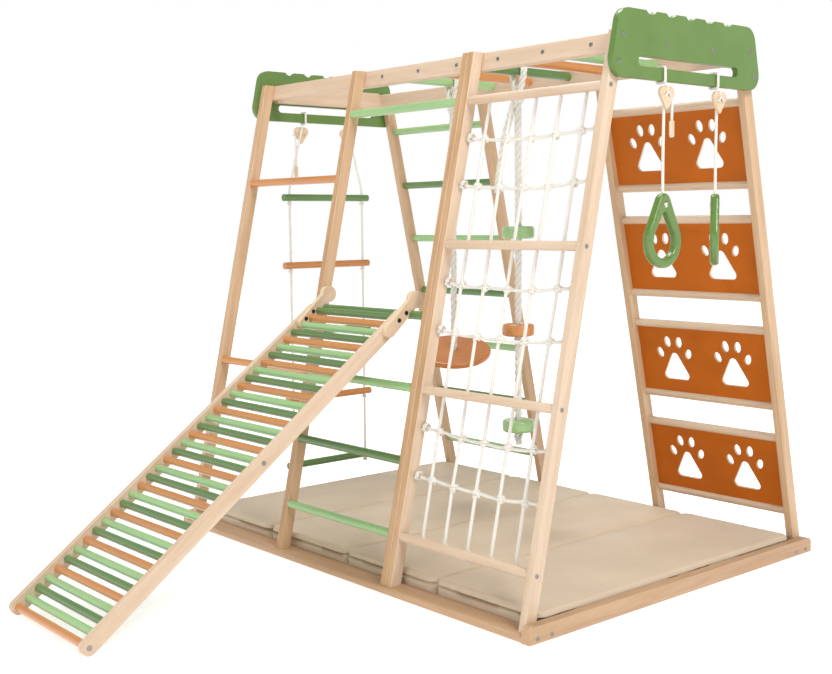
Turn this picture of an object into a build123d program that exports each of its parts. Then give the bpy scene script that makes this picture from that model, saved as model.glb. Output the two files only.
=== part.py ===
"""Indoor wooden climbing gym with a roller slide, swings, net, ladder and rings.

Millimetres, +Z up. The origin is on the floor at the centre of the base frame.
+X runs along the front to the ring end, +Y runs from the slide side to the paw wall.
"""
from build123d import *
from math import atan2, cos, degrees, hypot, radians, sin, sqrt, tan
import os

os.makedirs("parts", exist_ok=True)

# Driving dimensions -------------------------------------------------------------------------------
FRAME_W = 1584.0          # over the end legs
BASE_D = 1250.0           # front edge to rear edge of the base
BAY = 488.0               # clear width between neighbouring legs
LEG_T = 24.0              # leg width along X
LEG_D = 38.0              # leg depth, square to its wall
LEG_TOP = 1500.0
LEAN = 12.5               # each wall leans in by this angle
FOOT_SET = 8.0            # outer leg face behind the edge of the base rail, at the floor

RAIL_H, RAIL_W = 20.0, 65.0      # flat base rails, front and rear
BOARD_T, BOARD_H = 28.0, 44.0    # base boards at the two ends
MAT_COUNT, MAT_W, MAT_GAP, MAT_H = 4, 393.0, 1.5, 60.0
MAT_ROW_X = -3.0         # middle of the row of mats
MAT_EDGE = 10.0
MAT_CLEAR = 3.0          # between the mats and each base rail

RUNG_D = 25.0
RUNG_IN = 13.0            # rung axis behind the outer face of its wall
RUNG_Z0, RUNG_PITCH = 156.0, 201.0
BEAM_T, BEAM_H = 22.0, 50.0
BEAM_MID_Z = 1473.0
MONKEY_D, MONKEY_Z, MONKEY_PITCH, MONKEY_COUNT = 28.0, 1476.0, 170.5, 6
CROSS_H, CROSS_MID_Z = 60.0, 1472.0

END_T = 18.0              # scalloped end boards
END_LOW, END_HIGH = 1381.0, 1553.0
END_HALF_LOW, END_HALF_HIGH = 326.0, 288.0
SLOT_LOW, SLOT_HIGH, SLOT_HALF = 1412.0, 1438.0, 216.0

PANEL_T, PANEL_COUNT = 8.0, 4
PANEL_TOP_Z, PANEL_PITCH_Z, PANEL_SPAN_Z = 1354.0, 332.0, 232.0
PAW_HALF_GAP = 110.0

NET_ROPE_R, KNOT_R, NET_COLUMNS = 4.0, 9.0, 5
PEG_D, PEG_L = 12.0, 22.0
PEG_DROPS = (104.0, 236.0)       # pegs below each upper net rung, in height
NET_SAG = 14.0

SLIDE_SLOPE = 36.7
SLIDE_RAIL_H, SLIDE_RAIL_T = 40.0, 20.0
SLIDE_TOP_OFFSET = 11.0   # the line of bars passes this far above the hook rung's axis
SLIDE_LEFT, SLIDE_RIGHT = -273.0, 161.0   # outer faces of the two rails
ROLLER_D, ROLLER_PITCH, ROLLER_COUNT = 22.0, 35.0, 36
TIE_BARS = (0, 18, 35)           # bars that are screwed to the rails and do not turn
JOURNAL_DEEP = 14.0              # depth of a roller's blind bore
ROLLER_GAP = 0.05                # radial clearance of a roller in its bore
HOOK_T, HOOK_R = 18.0, 25.0
LEG_GAP = 1.5            # between the slide's head and the legs

ROPE_R = 4.0              # ladder and ring ropes
THICK_R = 11.0            # twisted swing ropes
SOFT_GAP = 0.3            # between a rope and the piece that it goes round
PIVOT_Z = 1368.4          # top of each hanger, under its loop
BEAD_L, TAIL_OUT = 36.0, 24.0    # bead on a hanger's free end, and how far it hangs to the side
RING_BEAD_Z, LADDER_BEAD_Z = 1243.0, 1189.0
RING_Y = (-113.0, 117.0)
RING_TOP, RING_LOW = 1092.0, 897.0
RING_T, RING_BAR = 24.0, 25.0
RING_BIG_R, RING_SMALL_R = 70.0, 24.0
RING_TURN = (0.0, 35.0)          # how far each ring hangs turned from the end board's plane
RING_KNOT_Z = RING_TOP - 30.0
ROPE_FIT = 0.4                   # between a rope and the bore that it runs in
TOGGLE_T, TOGGLE_LOBE_R, TOGGLE_LONG = 8.0, 16.0, 58.0
TOGGLE_HOLE_R = 3.2
TOGGLE_HOLES = ((0, -12), (-11, -27), (11, -27))
LADDER_HALF, LADDER_ROPE_Y, LADDER_TOP_Y = 191.0, 165.0, 103.0
LADDER_Z = (1114.0, 870.0, 626.0, 382.0, 138.0)
SWING_BAR, STEP_BAR = 0, 2       # monkey bars that carry the two thick ropes
SWING_Y, STEP_Y = 45.0, 3.0
SEAT_R, SEAT_T, SEAT_Z, SEAT_TILT = 123.0, 18.0, 590.0, 18.0
STEP_TAIL = ((-8, -6, 1392), (-18, -12, 1350), (-30, -24, 1290),     # free end of the step rope,
             (-40, -30, 1225), (-46, -37, 1165), (-50, -40, 1110))   # from the rope's own axis
STEP_R, STEP_T, STEP_Z = 50.0, 38.0, (988.0, 687.0, 387.0)

# Worked-out places --------------------------------------------------------------------------------
HALF_W, HALF_D = FRAME_W / 2, BASE_D / 2
SIN, COS = sin(radians(LEAN)), cos(radians(LEAN))
FOOT_Y = HALF_D - FOOT_SET
LEFT_X = (-HALF_W, -HALF_W + LEG_T + BAY)
PAIR_X = LEFT_X[1] + LEG_T + BAY
LEGS_X = (LEFT_X[0], LEFT_X[1], PAIR_X, PAIR_X + LEG_T, HALF_W - LEG_T)
BAYS = ((LEGS_X[0] + LEG_T, LEGS_X[1]), (LEGS_X[1] + LEG_T, LEGS_X[2]), (LEGS_X[3] + LEG_T, LEGS_X[4]))
MONKEY_X = [LEGS_X[3] + MONKEY_PITCH * (i - (MONKEY_COUNT - 1) / 2) for i in range(MONKEY_COUNT)]
FRONT = Plane(origin=(0, -FOOT_Y, 0), x_dir=(1, 0, 0), z_dir=(0, -COS, SIN))
NET_IN = RUNG_IN + RUNG_D / 2 + NET_ROPE_R + 0.2
END_X = HALF_W + END_T / 2
LOOP_LOW = END_LOW - ROPE_R - SOFT_GAP
HANG_X = END_X + END_T / 2       # hangers start under the outer run of their loop


def save(name, shapes):
    """Write one node: a single solid, or a group of separate ones."""
    solids = [s for shape in shapes for s in shape.solids()]
    part = solids[0] if len(solids) == 1 else Compound(children=solids)
    part.label = name
    export_step(part, f"parts/{name}.step")


def along(z, depth=0.0):
    """Distance up a wall from the floor, for a height z at a depth behind its outer face."""
    return (z + depth * SIN) / COS


def wall(x, s, depth):
    """Location in the front wall."""
    return FRONT * Pos(x, s, -depth)


def rear(shapes):
    """The same pieces, mirrored to the rear wall."""
    return [mirror(shape, about=Plane.XZ) for shape in shapes]


def box_between(low, high):
    size = [b - a for a, b in zip(low, high)]
    mid = [(a + b) / 2 for a, b in zip(low, high)]
    return Pos(*mid) * Box(*size)


def rod(start, end, radius):
    """Round bar from one point to another."""
    a, b = Vector(start), Vector(end)
    axis = b - a
    shaft = Cylinder(radius, axis.length, align=(Align.CENTER, Align.CENTER, Align.MIN))
    return Plane(origin=a, z_dir=axis) * shaft


def soft_edges(solid, axis, radius):
    return fillet(solid.edges().filter_by(axis), radius)


# Frame --------------------------------------------------------------------------------------------
def leg(x):
    """Leg blank, cut level at the rail and at the top."""
    blank = soft_edges(Box(LEG_T, LEG_TOP + 200, LEG_D), Axis.Y, 3)
    placed = wall(x + LEG_T / 2, LEG_TOP / 2, LEG_D / 2) * blank
    return placed & box_between((x - 1, -HALF_D, RAIL_H), (x + LEG_T + 1, HALF_D, LEG_TOP))


def beams():
    """Long beams behind the leg tops, end crossbars between them."""
    depth = LEG_D + BEAM_T / 2
    front = wall(0, along(BEAM_MID_Z, depth), depth) * soft_edges(Box(FRAME_W, BEAM_H, BEAM_T), Axis.X, 2)
    cross = []
    for x in (-HALF_W, HALF_W - LEG_T):
        low, high = CROSS_MID_Z - CROSS_H / 2, CROSS_MID_Z + CROSS_H / 2
        bar = box_between((x, -HALF_D, low), (x + LEG_T, HALF_D, high))
        cross.append(soft_edges(trim_to_beams(bar), Axis.Y, 2))
    return [front] + rear([front]) + cross


def trim_to_beams(shape):
    """Cut a front-to-rear bar at the inner faces of the two long beams."""
    reach = LEG_D + BEAM_T
    block = wall(0, LEG_TOP, reach - 200) * Box(FRAME_W * 1.2, LEG_TOP, 400)
    return shape - block - mirror(block, about=Plane.XZ)


def monkey_bar(x):
    return trim_to_beams(rod((x, -HALF_D, MONKEY_Z), (x, HALF_D, MONKEY_Z), MONKEY_D / 2))


def end_board(x_low):
    """Side board with a long hand slot and a scalloped top edge."""
    outline = Polygon((-END_HALF_LOW, END_LOW), (END_HALF_LOW, END_LOW),
                      (END_HALF_HIGH, END_HIGH), (-END_HALF_HIGH, END_HIGH), align=None)
    outline = fillet(outline.vertices(), 42)
    slot_mid = (SLOT_LOW + SLOT_HIGH) / 2
    outline -= Pos(0, slot_mid) * SlotOverall(2 * SLOT_HALF, SLOT_HIGH - SLOT_LOW)
    for i in range(-2, 3):
        outline -= Pos(i * 82, END_HIGH + 16) * Circle(26)
    plane = Plane(origin=(x_low, 0, 0), x_dir=(0, 1, 0), z_dir=(1, 0, 0))
    return extrude(plane * outline, END_T)


def base_rail():
    rail = box_between((-HALF_W, -HALF_D, 0), (HALF_W, -HALF_D + RAIL_W, RAIL_H))
    front_top = rail.edges().filter_by(Axis.X).sort_by(Axis.Y)[:2]
    return fillet(front_top, 6)


def base_board(x_low):
    board = box_between((x_low, -HALF_D, 0), (x_low + BOARD_T, HALF_D, BOARD_H))
    top_ends = board.edges().filter_by(Axis.X).sort_by(Axis.Z)[-2:]
    return fillet(top_ends, 18)


def mat(index):
    """One panel of the floor mat: round top edges and corners, flat underside."""
    x = MAT_ROW_X + (MAT_W + MAT_GAP) * (index - (MAT_COUNT - 1) / 2)
    blank = Pos(x, 0, MAT_H / 2) * Box(MAT_W, BASE_D - 2 * (RAIL_W + MAT_CLEAR), MAT_H)
    return fillet([edge for edge in blank.edges() if edge.center().Z > 1], MAT_EDGE)


# Rungs and panels ---------------------------------------------------------------------------------
def rung_at(bay, z):
    """Round rung between two legs of the front wall, its axis at height z."""
    x0, x1 = BAYS[bay]
    s = along(z, RUNG_IN)
    return wall((x0 + x1) / 2, s, RUNG_IN) * Rot(0, 90, 0) * Cylinder(RUNG_D / 2, x1 - x0)


def rung(bay, step):
    return rung_at(bay, RUNG_Z0 + RUNG_PITCH * step)


def paw():
    """Cut-out of one paw, drawn about the middle of a panel: a rounded pad and four toes."""
    pad = fillet(Polygon((-58, -66), (58, -66), (0, 40), align=None).vertices(), 15)
    shapes = [pad]
    for side in (-1, 1):
        shapes.append(Pos(side * 54, 23) * Rot(0, 0, side * -22) * Ellipse(11, 17))
        shapes.append(Pos(side * 22, 60) * Rot(0, 0, side * -8) * Ellipse(11.5, 18))
    return shapes


def paw_panel(index):
    """Panel let in between two rungs of the net bay's rear wall, with two paws cut through."""
    top = PANEL_TOP_Z - PANEL_PITCH_Z * index
    s_top, s_low = along(top, RUNG_IN), along(top - PANEL_SPAN_Z, RUNG_IN)
    x0, x1 = BAYS[2]
    mid_x, mid_s = (x0 + x1) / 2, (s_top + s_low) / 2
    face = Rectangle(x1 - x0, s_top - s_low - 14)
    for side in (-1, 1):
        for shape in paw():
            face -= Pos(side * PAW_HALF_GAP, 0) * shape
    panel = wall(mid_x, mid_s, RUNG_IN) * Pos(0, 0, -PANEL_T / 2) * extrude(face, PANEL_T)
    for z in (top, top - PANEL_SPAN_Z):
        panel -= rung_at(2, z)
    return panel


def net_pegs():
    """Short dowels on the inner leg faces that hold the ends of the net's cross ropes."""
    pegs = []
    for z in net_heights():
        for x, side in ((BAYS[2][0], 1), (BAYS[2][1], -1)):
            centre = wall(x + side * PEG_L / 2, along(z, NET_IN), NET_IN)
            pegs.append(centre * Rot(0, 90, 0) * Cylinder(PEG_D / 2, PEG_L))
    return pegs


# Climbing net -------------------------------------------------------------------------------------
def net_heights():
    return [RUNG_Z0 + RUNG_PITCH * step - drop for step in (6, 4, 2) for drop in PEG_DROPS]


def net_columns():
    x0, x1 = BAYS[2]
    return [x0 + (x1 - x0) * (i + 0.75) / (NET_COLUMNS + 0.5) for i in range(NET_COLUMNS)]


def net_sag(x):
    x0, x1 = BAYS[2]
    t = (x - x0) / (x1 - x0)
    return NET_SAG * 4 * t * (1 - t)


def net_point(x, z):
    return wall(x, along(z, NET_IN) - net_sag(x), NET_IN).position


def rope_runs(points, radius, gap):
    """Straight rope runs between neighbouring points, each stopping short of the knots there."""
    runs = []
    for a, b in zip(points, points[1:]):
        a, b = Vector(a), Vector(b)
        step = (b - a).normalized() * gap
        runs.append(rod(a + step, b - step, radius))
    return runs


def climbing_net():
    """Five uprights and six cross ropes with a knot at every crossing and end."""
    touch = KNOT_R + 0.1
    s_low, s_high = along(RUNG_Z0, RUNG_IN), along(RUNG_Z0 + 6 * RUNG_PITCH, RUNG_IN)
    pieces = []
    for x in net_columns():
        ends = [wall(x, s, NET_IN + KNOT_R - NET_ROPE_R).position for s in (s_low, s_high)]
        points = [ends[0]] + [net_point(x, z) for z in reversed(net_heights())] + [ends[1]]
        pieces += rope_runs(points, NET_ROPE_R, touch) + [Pos(p) * Sphere(KNOT_R) for p in points]
    x0, x1 = BAYS[2][0] + PEG_L + touch, BAYS[2][1] - PEG_L - touch
    for z in net_heights():
        points = [net_point(x, z) for x in (x0, *net_columns(), x1)]
        pieces += rope_runs(points, NET_ROPE_R, touch)
        pieces += [Pos(p) * Sphere(KNOT_R) for p in (points[0], points[-1])]
    return pieces


# Slide --------------------------------------------------------------------------------------------
RISE = sin(radians(SLIDE_SLOPE))
RUN = cos(radians(SLIDE_SLOPE))
FOOT_BAR_Z = SLIDE_RAIL_H / 2
RUNG3_Z = RUNG_Z0 + 3 * RUNG_PITCH
HOOK_Y = -FOOT_Y + along(RUNG3_Z, RUNG_IN) * SIN + RUNG_IN * COS
SLIDE_REACH = (RUNG3_Z + SLIDE_TOP_OFFSET * RUN - FOOT_BAR_Z) / RISE
SLIDE_FOOT_Y = HOOK_Y - SLIDE_TOP_OFFSET * RISE - SLIDE_REACH * RUN
SLIDE = Plane(origin=(0, SLIDE_FOOT_Y, FOOT_BAR_Z), x_dir=(0, RUN, RISE), z_dir=(1, 0, 0))
RAIL_LEFT = (SLIDE_LEFT, SLIDE_LEFT + SLIDE_RAIL_T)
RAIL_RIGHT = (SLIDE_RIGHT - SLIDE_RAIL_T, SLIDE_RIGHT)


def on_slide(x, s, up=0.0):
    """Location with its Z along the world's X, s up the slope from the lowest bar."""
    return SLIDE * Pos(s, up, x)


def slide_rail(x_low, inner_side):
    """Side rail: round foot, head cut to clear the legs, blind bores for the turning bars."""
    radius = SLIDE_RAIL_H / 2
    head = ROLLER_PITCH * (ROLLER_COUNT - 1) + 8
    outline = Pos(head / 2, 0) * Rectangle(head, SLIDE_RAIL_H) + Circle(radius)
    rail = extrude(SLIDE * Pos(0, 0, x_low) * outline, SLIDE_RAIL_T)
    x_face = x_low + SLIDE_RAIL_T if inner_side > 0 else x_low
    x_bore = x_face - inner_side * JOURNAL_DEEP / 2
    bores = [on_slide(x_bore, ROLLER_PITCH * i) * Cylinder(ROLLER_D / 2 + ROLLER_GAP, JOURNAL_DEEP)
             for i in range(ROLLER_COUNT) if i not in TIE_BARS]
    leg_zone = wall(0, LEG_TOP / 2, 50 - LEG_GAP) * Box(FRAME_W, 2 * LEG_TOP, 100)
    return rail - bores - leg_zone


def slide_bar(index):
    """Bar across the slide: tie bars end on the rail faces, turning bars enter their bores."""
    inside = 0.0 if index in TIE_BARS else JOURNAL_DEEP - 1.0
    x0, x1 = RAIL_LEFT[1] - inside, RAIL_RIGHT[0] + inside
    return on_slide((x0 + x1) / 2, ROLLER_PITCH * index) * Cylinder(ROLLER_D / 2, x1 - x0)


def hook_plate(x_low):
    """Plate on a rail's +X face with a rounded lobe that hooks over the rung.

    The left plate stands inside its rail, so the top bars pass through it.
    """
    rung_s, rung_up = SLIDE_REACH, -SLIDE_TOP_OFFSET
    tail = (rung_s - 92.0, 4.0)
    lobe = (rung_s + 38.0, 15.0)
    arm_w = 34.0
    run = hypot(lobe[0] - tail[0], lobe[1] - tail[1])
    angle = degrees(atan2(lobe[1] - tail[1], lobe[0] - tail[0]))
    mid = ((lobe[0] + tail[0]) / 2, (lobe[1] + tail[1]) / 2)
    outline = Pos(*mid) * Rot(0, 0, angle) * SlotCenterToCenter(run, arm_w)
    outline += Pos(*lobe) * Circle(HOOK_R)
    mouth_r = RUNG_D / 2 + 0.4
    down = degrees(atan2(-RUN, -RISE))
    outline -= Pos(rung_s, rung_up) * Circle(mouth_r)
    outline -= Pos(rung_s, rung_up) * Rot(0, 0, down) * Pos(40, 0) * Rectangle(80, 2 * mouth_r)
    for i in range(ROLLER_COUNT - 4, ROLLER_COUNT):
        if x_low < 0:
            outline -= Pos(ROLLER_PITCH * i, 0) * Circle(ROLLER_D / 2 + SOFT_GAP)
    return extrude(SLIDE * Pos(0, 0, x_low) * outline, HOOK_T)


# Ropes, rings and hanging toys --------------------------------------------------------------------
def tube(points, radius, bends):
    """Round rope along straight runs with rounded bends."""
    if len(points) == 2:
        return rod(points[0], points[1], radius)
    path = FilletPolyline(*points, radius=bends)
    section = Plane(origin=path @ 0, z_dir=path % 0) * Circle(radius)
    return sweep(section, path=path)


def board_loop(side, y):
    """Rope loop round the lower bar of an end board, in the XZ plane."""
    reach_x = END_T / 2 + ROPE_R + SOFT_GAP
    low, high = LOOP_LOW, SLOT_LOW + ROPE_R + SOFT_GAP
    centre = Plane(origin=(side * END_X, y, (low + high) / 2), x_dir=(1, 0, 0), z_dir=(0, -1, 0))
    wire = (centre * RectangleRounded(2 * reach_x, high - low, ROPE_R + 0.4)).wires()[0]
    section = Plane(origin=wire @ 0, z_dir=wire % 0) * Circle(ROPE_R)
    return sweep(section, path=wire)


def toggle(side, y):
    """Heart-shaped tensioner plate with three holes, its face towards +X or -X."""
    lobe = Circle(TOGGLE_LOBE_R)
    heart = Pos(-13, -TOGGLE_LOBE_R) * lobe + Pos(13, -TOGGLE_LOBE_R) * lobe
    heart += Polygon((-26, -25), (-2, -TOGGLE_LONG), (2, -TOGGLE_LONG), (26, -25), align=None)
    for hole in TOGGLE_HOLES:
        heart -= Pos(*hole) * Circle(TOGGLE_HOLE_R)
    plane = Plane(origin=(side * (HANG_X + ROPE_R + SOFT_GAP), y, PIVOT_Z - 2),
                  x_dir=(0, 1, 0), z_dir=(1, 0, 0))
    return extrude(plane * heart, side * TOGGLE_T)


def hanger_top(side, y):
    return Pos(side * HANG_X, y, PIVOT_Z) * Sphere(ROPE_R)


def tail_bead(side, y, z):
    """Wooden bead on the free end of a hanger's rope."""
    x = side * (HANG_X + ROPE_R + SOFT_GAP + 4)
    return rod((x, y, z), (x, y, z + BEAD_L), 7)


def tail_rope(side, y, z):
    """Free end of the rope, from the toggle down to the bead."""
    x = side * (HANG_X + ROPE_R + SOFT_GAP + 4)
    return rod((x, y, z + BEAD_L), (x, y, PIVOT_Z - 36), ROPE_R - 0.5)


def teardrop(low, low_r, high, high_r):
    """Outline round two circles on the Y axis, joined by tangents."""
    circles = (Pos(0, low) * Circle(low_r), Pos(0, high) * Circle(high_r))
    return make_hull([edge for circle in circles for edge in circle.edges()])


def ring(index):
    """Teardrop hand ring: narrow top with a knot hole, round bottom."""
    low, high = RING_LOW + RING_BIG_R, RING_TOP - RING_SMALL_R
    profile = teardrop(low, RING_BIG_R, high, RING_SMALL_R)
    opening = teardrop(low, RING_BIG_R - RING_BAR, RING_KNOT_Z - 28, 9.0)
    plane = Plane(origin=(0, RING_T / 2, 0), x_dir=(1, 0, 0), z_dir=(0, -1, 0))
    body = extrude(plane * (profile - opening), RING_T)
    body = fillet([e for e in body.edges() if abs(abs(e.center().Y) - RING_T / 2) < 0.01], 8)
    body -= Pos(0, 0, RING_KNOT_Z) * Rot(90, 0, 0) * Cylinder(8.5, RING_T + 2)
    body -= rod((0, 0, RING_KNOT_Z), (0, 0, RING_TOP + 10), ROPE_R + ROPE_FIT)
    return Pos(HANG_X, RING_Y[index], 0) * Rot(0, 0, 90 + RING_TURN[index]) * body


def ring_rope(index):
    """Rope from under the loop to the knot inside the ring's head."""
    y = RING_Y[index]
    run = rod((HANG_X, y, RING_KNOT_Z), (HANG_X, y, PIVOT_Z), ROPE_R)
    knot = Pos(HANG_X, y, RING_KNOT_Z) * Sphere(7.5)
    return run + knot + hanger_top(1, y)


def ladder_rung(z):
    bar = rod((-HANG_X, -LADDER_HALF, z), (-HANG_X, LADDER_HALF, z), RUNG_D / 2)
    for y in (-LADDER_ROPE_Y, LADDER_ROPE_Y):
        bar -= rod((-HANG_X, y, z - 20), (-HANG_X, y, z + 20), ROPE_R + 0.2)
    return bar


def ladder_rope(side):
    """One side rope: slants out to the rungs, then runs straight down through them."""
    top = (-HANG_X, side * LADDER_TOP_Y, PIVOT_Z)
    bend = (-HANG_X, side * LADDER_ROPE_Y, LADDER_Z[0] + 30)
    end = (-HANG_X, side * LADDER_ROPE_Y, LADDER_Z[-1] - 26)
    rope = tube([top, bend, end], ROPE_R, 40)
    for z in LADDER_Z:
        rope += Pos(-HANG_X, side * LADDER_ROPE_Y, z - RUNG_D / 2 - 9) * Sphere(8.5)
    return rope + hanger_top(-1, side * LADDER_TOP_Y)


def thick_rope(bar_x, y, end_z):
    """Twisted rope with an eye round a monkey bar and a knot below the eye."""
    eye_r = MONKEY_D / 2 + THICK_R + SOFT_GAP
    knot_z = MONKEY_Z - 82.0
    drop = MONKEY_Z - knot_z
    tilt = degrees(atan2(eye_r, sqrt(drop * drop - eye_r * eye_r)))
    c = cos(radians(tilt))
    t = sin(radians(tilt))
    touch = [(bar_x + side * eye_r * c, y, MONKEY_Z - eye_r * t) for side in (-1, 1)]
    crown = ThreePointArc(touch[0], (bar_x, y, MONKEY_Z + eye_r), touch[1])
    section = Plane(origin=crown @ 0, z_dir=crown % 0) * Circle(THICK_R)
    pieces = [sweep(section, path=crown)]
    pieces += [rod((bar_x, y, knot_z), p, THICK_R) for p in touch]
    pieces.append(Pos(bar_x, y, knot_z) * Sphere(THICK_R * 1.75))
    pieces.append(rod((bar_x, y, end_z), (bar_x, y, knot_z), THICK_R))
    return Part() + pieces


def seat_place():
    """Seat plane: its top tips towards the front corner at the ring end."""
    t = radians(SEAT_TILT)
    lean = (0.736 * sin(t), -0.677 * sin(t), cos(t))
    return Plane(origin=(MONKEY_X[SWING_BAR], SWING_Y, SEAT_Z), x_dir=(0.677, 0.736, 0), z_dir=lean)


def swing_seat():
    seat = fillet(Cylinder(SEAT_R, SEAT_T).edges(), 6)
    seat = seat_place() * seat
    hole = rod((MONKEY_X[SWING_BAR], SWING_Y, SEAT_Z - 40),
               (MONKEY_X[SWING_BAR], SWING_Y, SEAT_Z + 40), THICK_R + 0.3)
    return seat - hole


def step_disc(z):
    disc = fillet(Cylinder(STEP_R, STEP_T).edges(), 9)
    return Pos(MONKEY_X[STEP_BAR], STEP_Y, z) * (disc - Cylinder(THICK_R + 0.2, STEP_T + 2))


def swing_rope():
    rope = thick_rope(MONKEY_X[SWING_BAR], SWING_Y, SEAT_Z - 36)
    return rope + Pos(MONKEY_X[SWING_BAR], SWING_Y, SEAT_Z - 38) * Sphere(20)


def bend_radii(points):
    """Radius at each corner of a rope's route, as large as its runs allow."""
    radii = []
    for a, b, c in zip(points, points[1:], points[2:]):
        before, after = b - a, c - b
        half_turn = radians(before.get_angle(after)) / 2
        radii.append(0.45 * min(before.length, after.length) / tan(half_turn))
    return radii


def step_tail():
    """Long free end that hangs aslant from the eye's knot."""
    route = [Vector(MONKEY_X[STEP_BAR] + x, STEP_Y + y, z) for x, y, z in STEP_TAIL]
    radii = bend_radii(route)
    print("step tail bend radii", [round(r) for r in radii])
    return tube(route, THICK_R, radii)


def step_rope():
    rope = thick_rope(MONKEY_X[STEP_BAR], STEP_Y, STEP_Z[-1] - 60) + step_tail()
    for z in STEP_Z:
        rope += Pos(MONKEY_X[STEP_BAR], STEP_Y, z - STEP_T / 2 - 15.5) * Sphere(15)
    return rope


# Fasteners ----------------------------------------------------------------------------------------
def screw_head(place, radius=6.0, proud=1.6):
    """Domed screw head with a hexagon socket, standing on a face whose normal is local Z."""
    dome = extrude(Circle(radius), proud)
    dome = fillet(dome.edges().sort_by(Axis.Z)[-1:], 1.0)
    dome -= Pos(0, 0, proud) * extrude(RegularPolygon(2.6, 6), -1.0)
    return place * dome


def facing(x, y, z, direction):
    return Plane(origin=(x, y, z), x_dir=(0, 1, 0) if direction[0] else (1, 0, 0), z_dir=direction)


def frame_screws():
    heads = []
    for side, steps in ((-1, (2, 5)), (1, (0, 2, 4, 6))):
        outward = (side, 0, 0)
        for step in steps:
            z = RUNG_Z0 + RUNG_PITCH * step
            y = -FOOT_Y + along(z, RUNG_IN) * SIN + RUNG_IN * COS
            heads.append(facing(side * HALF_W, y, z, outward))
        for y, z in ((275, 1485), (291, 1419), (99, 1475)):
            heads += [facing(side * (HALF_W + END_T), s * y, z, outward) for s in (-1, 1)]
        for y in (HALF_D - 30, HALF_D - 80):
            heads += [facing(side * (HALF_W + BOARD_T), s * y, 12, outward) for s in (-1, 1)]
    for x in MONKEY_X:
        front = wall(x, along(MONKEY_Z, LEG_D), LEG_D)
        heads.append(Plane(front))
    shapes = [screw_head(place) for place in heads]
    return shapes + rear([screw_head(place) for place in heads[-MONKEY_COUNT:]])


def slide_screws():
    """Screws into the tie bars and the bolts of the two hook plates."""
    heads = []
    for index in TIE_BARS[:2]:
        heads.append(on_slide(SLIDE_RIGHT, ROLLER_PITCH * index))
        heads.append(on_slide(SLIDE_LEFT, ROLLER_PITCH * index) * Rot(180, 0, 0))
    top_bar = ROLLER_PITCH * (ROLLER_COUNT - 1)
    for s in (top_bar - 0.5 * ROLLER_PITCH, top_bar - 1.5 * ROLLER_PITCH):
        heads.append(on_slide(RAIL_LEFT[1] + HOOK_T, s, 12))
    for s in (SLIDE_REACH - 48, SLIDE_REACH - 15):
        heads.append(on_slide(SLIDE_RIGHT + HOOK_T, s, 9))
    return [screw_head(place, 6.5, 2.0) for place in heads]


# Write every node ---------------------------------------------------------------------------------
def write_frame():
    rear_legs = rear([leg(x) for i, x in enumerate(LEGS_X) if i != 2])
    save("legs", [leg(x) for x in LEGS_X] + rear_legs)
    save("top_beams", beams())
    save("end_boards", [end_board(HALF_W), end_board(-HALF_W - END_T)])
    boards = [base_board(HALF_W), base_board(-HALF_W - BOARD_T)]
    save("base_frame", [base_rail()] + rear([base_rail()]) + boards)
    save("floor_mats", [mat(i) for i in range(MAT_COUNT)])


def write_rungs():
    panel_z = [PANEL_TOP_Z - PANEL_PITCH_Z * i - drop
               for i in range(PANEL_COUNT) for drop in (0, PANEL_SPAN_Z)]
    natural = [rung(2, step) for step in (0, 2, 4, 6)] + rear([rung_at(2, z) for z in panel_z])
    save("natural_rungs", natural + net_pegs())
    save("orange_rungs", [rung(0, 2), rung(0, 5)] + [monkey_bar(MONKEY_X[i]) for i in (1, 3)])
    light = [rung(1, step) for step in (0, 2, 6)] + rear([rung(0, step) for step in (0, 2, 4, 6)])
    save("light_green_rungs", light + [monkey_bar(MONKEY_X[i]) for i in (0, 4)])
    dark = [rung(1, step) for step in (1, 3)] + rear([rung(0, step) for step in (1, 3, 5)])
    save("dark_green_rungs", dark + [monkey_bar(MONKEY_X[i]) for i in (2, 5)])
    save("paw_panels", rear([paw_panel(i) for i in range(PANEL_COUNT)]))
    loops = [board_loop(1, y) for y in RING_Y] + [board_loop(-1, s * LADDER_TOP_Y) for s in (-1, 1)]
    save("net_and_loops", climbing_net() + loops)


def write_slide():
    rails = [slide_rail(RAIL_LEFT[0], 1), slide_rail(RAIL_RIGHT[0], -1)]
    save("slide_rails", rails + [hook_plate(RAIL_LEFT[1]), hook_plate(SLIDE_RIGHT)])
    save("slide_tie_bars", [slide_bar(i) for i in TIE_BARS])
    save("slide_screws", slide_screws())
    for i in range(ROLLER_COUNT):
        if i not in TIE_BARS:
            save(f"slide_roller_{i + 1:02d}", [slide_bar(i)])


def write_toys():
    for i, name in enumerate(("near", "far")):
        save(f"ring_{name}", [ring(i)])
        tail = (1, RING_Y[i] + TAIL_OUT, RING_BEAD_Z)
        save(f"ring_{name}_rope", [ring_rope(i)] + ([tail_rope(*tail)] if i == 0 else []))
        save(f"ring_{name}_toggle", [toggle(1, RING_Y[i])] + ([tail_bead(*tail)] if i == 0 else []))
    tail = (-1, -LADDER_TOP_Y - TAIL_OUT, LADDER_BEAD_Z)
    toggles = [toggle(-1, s * LADDER_TOP_Y) for s in (-1, 1)] + [tail_bead(*tail)]
    save("rope_ladder_rungs", [ladder_rung(z) for z in LADDER_Z] + toggles)
    save("rope_ladder_ropes", [ladder_rope(side) for side in (-1, 1)] + [tail_rope(*tail)])
    save("swing_seat", [swing_seat()])
    save("swing_rope", [swing_rope()])
    save("step_rope", [step_rope()])
    save("step_discs", [step_disc(z) for z in STEP_Z])


write_frame()
save("frame_screws", frame_screws())
write_rungs()
write_slide()
write_toys()
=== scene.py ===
"""Looks of the climbing gym: wood, paint, ropes, net and floor mats, in metres in the CAD frame."""
import bpy
import random
from math import asin, cos, pi, radians, sin
from mathutils import Matrix, Vector, noise
import numpy as np


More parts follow.
